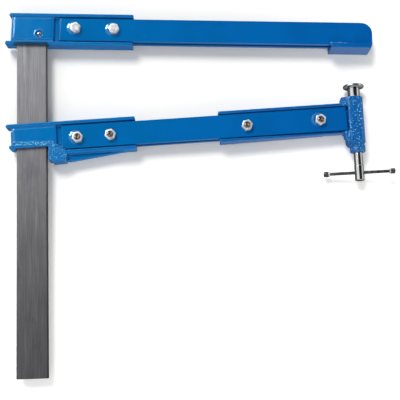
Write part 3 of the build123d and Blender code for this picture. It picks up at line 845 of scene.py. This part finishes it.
def makeBolt(values, shankLength):
    # stands on its head: the head's outer face is at the foot, the threaded end on top
    height, radius, end = values["height"], values["boltRadius"], values["endChamfer"]
    head = hexagon("bolt", values)
    wide, deep = values["headDimple"]
    cut(head, turned("dish", [(-deep, wide * 1.05), (deep, wide * 0.9)]))
    softEdges(head, values["edge"])
    tip = height + shankLength
    threadFoot = tip - values["threadLength"]
    steps = int(values["threadLength"] / values["pitch"] * values["ringsPerTurn"])
    rings = [(threadFoot + i * (tip - end - threadFoot) / steps, radius) for i in range(1, steps + 1)]
    narrow, dip = values["endDimple"]
    profile = [(height * 0.6, radius), (threadFoot, radius), *rings, (tip, radius - end),
               (tip - 0.02 * mm, narrow), (tip - dip, narrow * 0.35)]
    shank = turned("shank", profile, 40)
    windThread(shank, threadFoot, tip, radius, values["threadDepth"], values["pitch"])
    smoothUnder(shank, 50)
    return joined([head, shank], "bolt")


def windThread(piece, low, high, radius, depth, pitch):
    # winds a rounded thread into a turned piece between two heights by moving its vertices inwards
    for vertex in piece.data.vertices:
        point = vertex.co
        reach = sqrt(point.x ** 2 + point.y ** 2)
        if low < point.z < high and reach > radius * 0.7:
            turn = point.z / pitch - atan2(point.y, point.x) / (2 * pi)
            fade = min(1.0, (point.z - low) / pitch)
            share = 1 - depth * fade * (0.5 - 0.5 * cos(2 * pi * turn)) / reach
            point.x, point.y = point.x * share, point.y * share


def placed(model, name, spot, turn, upsideDown):
    piece = bpy.data.objects.new(name, model.data.copy())
    bpy.context.scene.collection.objects.link(piece)
    piece.matrix_world = (Matrix.Translation(spot) @ Matrix.Rotation(pi if upsideDown else 0, 4, "X")
                          @ Matrix.Rotation(radians(turn), 4, "Z"))
    return settle(piece)


def makeFasteners(values):
    nut = makeNut(values)
    models = [nut]
    for row, choice in values["rows"].items():
        lowest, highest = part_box(choice["bolts"])
        headUp, length = choice["headUp"], highest.z - lowest.z
        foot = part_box(choice["nuts"])[0].z
        bolt = makeBolt(values, length - values["height"])
        models.append(bolt)

        def onThread(spot):
            height = lowest.z + highest.z - spot.z if headUp else spot.z
            return height > lowest.z + length - values["threadLength"]

        for i, middle in enumerate(centresIn(choice["bolts"], 2)):
            turn = choice["turns"][i]
            spot = Vector((middle.x, middle.y, highest.z if headUp else lowest.z))
            piece = placed(bolt, f"{row}Bolt{i + 1}", spot, turn if headUp else 0, headUp)
            finished(piece, choice["body"], finishes["zinc"], choice["bolts"])
            tipped(piece, finishes["threadSteel"], onThread)
            piece = placed(nut, f"{row}Nut{i + 1}", Vector((middle.x, middle.y, foot)), turn, False)
            finished(piece, choice["body"], finishes["zinc"], choice["nuts"])
    for model in models:
        bpy.data.objects.remove(model)


makeFasteners(fasteners)
print("bolts and nuts are made")

# The screw: a smooth shank that shows, a thread inside the housing, a ball at its far end
screw = {
    "radius": 6.0 * mm,
    "headRadius": 6.3 * mm,
    "headLength": 20.7 * mm,
    "headBevel": 0.8 * mm,
    "freeLength": 27.2 * mm,    # plain shank that shows, and its part inside the housing's neck
    "pitch": 3.0 * mm,
    "threadDepth": 0.9 * mm,
    "ringsPerTurn": 9,
    "ballRadius": 4.75 * mm,
    "ballNeck": 3.2 * mm,
    "neckBack": 7.8 * mm,       # pad's neck to the ball's middle
    "shoulderGap": 1.0 * mm,    # and from there back to the screw's shoulder
    "edge": 0.12 * mm,
    "crossHole": 2.25 * mm,     # hole for the tommy bar, and how it leans from level
    "crossAt": 10.7 * mm,
    "crossTurn": 6.0,
}
crossMiddle = Vector((screwX, spindleLow.y + screw["crossAt"], midZ))


def alongScrew(piece, start):
    # lays a piece that stands on the origin along +Y, its foot at the given place
    piece.matrix_world = Matrix.Translation((screwX, start, midZ)) @ Matrix.Rotation(-pi / 2, 4, "X")
    return settle(piece)


def makeScrew(values):
    start, end = spindleLow.y, spindleHigh.y
    radius, headRadius, bevel = values["radius"], values["headRadius"], values["headBevel"]
    head, ball = values["headLength"], values["ballRadius"]
    ballMiddle = end - start - ball
    shoulder = ballMiddle - values["neckBack"] - values["shoulderGap"]
    threadFoot = head + values["freeLength"]
    steps = int((shoulder - threadFoot) / values["pitch"] * values["ringsPerTurn"])
    rings = [(threadFoot + i * (shoulder - bevel - threadFoot) / steps, radius) for i in range(1, steps + 1)]
    neck = values["ballNeck"]
    slope = sqrt(ball ** 2 - neck ** 2)
    # rings close beside each rounded end keep the long sides' reflections straight
    profile = [(0, headRadius - bevel), (bevel * 0.3, headRadius - bevel * 0.35), (bevel, headRadius),
               (bevel * 1.2, headRadius), (head - bevel * 1.2, headRadius),
               (head - bevel, headRadius), (head - bevel * 0.3, headRadius - bevel * 0.35),
               (head, headRadius - bevel), (head + 0.1 * mm, radius), (head + 0.3 * mm, radius),
               (threadFoot, radius), *rings,
               (shoulder, radius - bevel), (shoulder + 0.01 * mm, neck), (ballMiddle - slope, neck)]
    ballRings = [(ballMiddle - ball * cos(pi * i / 24), ball * sin(pi * i / 24)) for i in range(6, 24)]
    piece = turned("screw", profile + ballRings, 48)
    windThread(piece, threadFoot, shoulder, radius, values["threadDepth"], values["pitch"])
    alongScrew(piece, start)
    letGo()
    bpy.ops.mesh.primitive_cylinder_add(vertices=40, radius=values["crossHole"], depth=6 * headRadius,
                                        location=(screwX, start + values["crossAt"], midZ),
                                        rotation=(0, pi / 2 - radians(values["crossTurn"]), 0))
    cut(piece, bpy.context.object)
    softEdges(piece, values["edge"], over=50.0, mergeFlats=False)
    finished(piece, "screw", finishes["chrome"], "spindle")


makeScrew(screw)

# The pad that the ball carries: a disc on a neck, its socket pressed round the ball
padTurning = {
    "discRadius": 14.15 * mm,
    "discThickness": 3.2 * mm,
    "neckRadius": 8.25 * mm,
    "bevel": 0.9 * mm,
    "socket": 4.85 * mm,
    "mouth": 3.65 * mm,
    "recess": (11.4 * mm, 0.45 * mm),   # shallow turned recess in the pressing face
}


def makePad(values):
    low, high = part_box("swivel_pad")
    length, bevel = high.y - low.y, values["bevel"]
    back = length - values["discThickness"]
    neck, disc = values["neckRadius"], values["discRadius"]
    wide, deep = values["recess"]
    pad = turned("pressurePad", [
        (0, neck - bevel), (bevel * 0.3, neck - bevel * 0.3), (bevel, neck), (bevel * 1.2, neck),
        (back - bevel * 1.2, neck), (back - bevel, neck),
        (back - bevel * 0.25, neck + bevel * 0.25), (back, neck + bevel), (back, disc - bevel),
        (back + bevel * 0.3, disc - bevel * 0.3), (back + bevel, disc), (length - bevel, disc),
        (length - bevel * 0.3, disc - bevel * 0.3), (length, disc - bevel), (length, wide),
        (length - deep, wide - deep), (length - deep, wide * 0.5)], 96)
    ballAt = screw["neckBack"]
    socket, mouth = values["socket"], values["mouth"]
    cavity = [(ballAt - socket * cos(pi * i / 24), socket * sin(pi * i / 24)) for i in range(7, 24)]
    cut(pad, turned("socket", [(-bevel, mouth), (cavity[0][0], mouth), *cavity], 48))
    smoothUnder(alongScrew(pad, low.y), 32)
    finished(pad, "pressure_pad", finishes["chrome"], "swivel_pad")


makePad(padTurning)
print("screw and pad are made")

# Tommy bar: a drawn rod with a knob pressed on each end
tommy = {
    "rod": 2.1 * mm,
    "length": 95.4 * mm,
    "knob": 3.65 * mm,
    "knobLength": 8.0 * mm,
    "collar": 1.7 * mm,
    "waist": 0.45 * mm,
    "wall": 1.4 * mm,
    "lip": 0.3 * mm,
}


def alongTommy(piece, along):
    turn = radians(screw["crossTurn"])
    piece.matrix_world = (Matrix.Translation(crossMiddle) @ Matrix.Rotation(-turn, 4, "Y")
                          @ Matrix.Rotation(pi / 2, 4, "Y") @ Matrix.Translation((0, 0, along)))
    return settle(piece)


def makeTommy(values):
    half, wall, rod, knob = values["length"] / 2, values["wall"], values["rod"], values["knob"]
    length, collar, waist, lip = values["knobLength"], values["collar"], values["waist"], values["lip"]
    reach, bore = half - wall, rod + 0.02 * mm
    bar = turned("tommyRod", [(-reach, rod - lip), (-reach + lip, rod), (-reach * 0.5, rod), (0, rod),
                              (reach * 0.5, rod), (reach - lip, rod), (reach, rod - lip)], 40)
    smoothUnder(alongTommy(bar, 0), 32)
    finished(bar, "tommy", finishes["darkSteel"], "tommy_bar")
    for side, name in ((-1, "left"), (1, "right")):
        cap = turned("tommyKnob" + name.title(), [
            (0, knob * 0.55), (0.35 * mm, knob * 0.8), (1.0 * mm, knob * 0.95), (1.7 * mm, knob),
            (length - collar - waist, knob), (length - collar - waist * 0.5, knob - waist),
            (length - collar, knob - waist * 0.2), (length - collar * 0.8, knob), (length - lip, knob),
            (length, knob - 0.4 * mm)], 48)
        cut(cap, turned("knobBore", [(wall - 0.1 * mm, bore), (length - lip, bore),
                                     (length + lip, bore + 2 * lip)], 40))
        smoothUnder(cap, 40)
        if side > 0:
            cap.matrix_world = Matrix.Translation((0, 0, half)) @ Matrix.Rotation(pi, 4, "X")
            alongTommy(settle(cap), 0)
        else:
            alongTommy(cap, -half)
        turn = radians(screw["crossTurn"])
        outwards = Vector((cos(turn), 0, sin(turn))) * side
        finished(cap, "tommy", finishes["darkSteel"], "tommy_knob_" + name)
        # the inner rim of each knob is bright
        tipped(cap, finishes["zinc"],
               lambda spot: (spot - crossMiddle).dot(outwards) < half - length + collar * 0.95)


makeTommy(tommy)
print("tommy bar is made")

# Rivet that pins the fixed head on the bar: a shiny domed head in its ring
rivet = {"radius": 3.25 * mm, "dome": 2.2 * mm}


def makeRivet(values):
    low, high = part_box("head_rivet")
    radius, dome = values["radius"], values["dome"]
    length = high.z - low.z
    rings = [(radius * cos(pi / 2 * i / 8), dome * sin(pi / 2 * i / 8)) for i in range(9)]
    profile = [(dome - rise, max(wide, radius * 0.05)) for wide, rise in reversed(rings)]
    profile += [(length - dome + rise, max(wide, radius * 0.05)) for wide, rise in rings]
    pin = turned("headRivet", profile, 48)
    pin.location = ((low.x + high.x) / 2, (low.y + high.y) / 2, low.z)
    smoothUnder(settle(pin), 40)
    finished(pin, "frame", finishes["rivetSteel"], "head_rivet")


makeRivet(rivet)

# Jaw pad welded across the fixed arm's tip, with its weld bead and a few droplets of spatter
jaw = {
    "edge": 0.7 * mm,
    "beads": 11,
    "beadRadius": 2.5 * mm,
    "beadLength": 20.0 * mm,
    "beadRise": (2.2, 3.4),     # how far its middle lies off the plate's face
    "endGap": 3.2 * mm,
    "spatter": 26,
    "spatterReach": 30,
    "spatterSizes": (0.35, 0.85),
    "seamLength": 34,
    "grainAndGlintReach": 16,              # how far from the seam the paint stands on grains and carries painted glints
    "seed": 11,
    "voxel": 0.35 * mm,
}


def makeJaw(values):
    piece = copyOf("jaw_pad", "jawPad")
    softEdges(piece, values["edge"], segments=3)
    finished(piece, "frame", plateBlue, "jaw_pad")
    low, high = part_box("jaw_pad")
    chance = random.Random(values["seed"])
    start, edge = low.x - barX, -clamp["plateWidth"] / 2
    for side, level, out in (("Front", clamp["plateTop"], 1), ("Back", clamp["plateFoot"], -1)):
        balls = []
        for i in range(values["beads"]):
            # the bead lies in the corner between the plate's face and the pad's back
            reach = start + values["endGap"] + i * values["beadLength"] / (values["beads"] - 1)
            spot = onFixedArm(reach, edge + chance.uniform(-0.2, 0.5) * mm,
                              level + out * chance.uniform(*values["beadRise"]) * mm)
            balls.append(ball(values["beadRadius"] * chance.uniform(0.85, 1.15), spot))
        for i in range(values["spatter"]):
            beside = chance.uniform(-5.0 if out > 0 else 0.5, 4.5) * mm
            reach = start + values["endGap"] + values["spatterReach"] * chance.random() ** 1.5 * mm
            spot = onFixedArm(reach, edge + beside, level if beside > 0 else high.z - 0.25 * mm)
            balls.append(ball(chance.uniform(*values["spatterSizes"]) * mm, spot, 0.7))
        weld = joined(balls, "jawWeld" + side)
        applied(weld, "REMESH", mode="VOXEL", voxel_size=values["voxel"], adaptivity=0.0)
        applied(weld, "SMOOTH", factor=0.5, iterations=2)
        seam = [onFixedArm(start + reach * mm, edge, level) / mm for reach in (0, values["seamLength"])]
        # grains and painted glints along the seam
        spread(weld, "roughAndGlint", [(*seam, values["grainAndGlintReach"], 1.6)])
        take(weld)
        bpy.ops.object.shade_smooth()
        finished(weld, "frame", castBlue, None)


makeJaw(jaw)
print("jaw pad is made")

bpy.context.scene.view_settings.view_transform = "Standard"
print("clamp is ready")
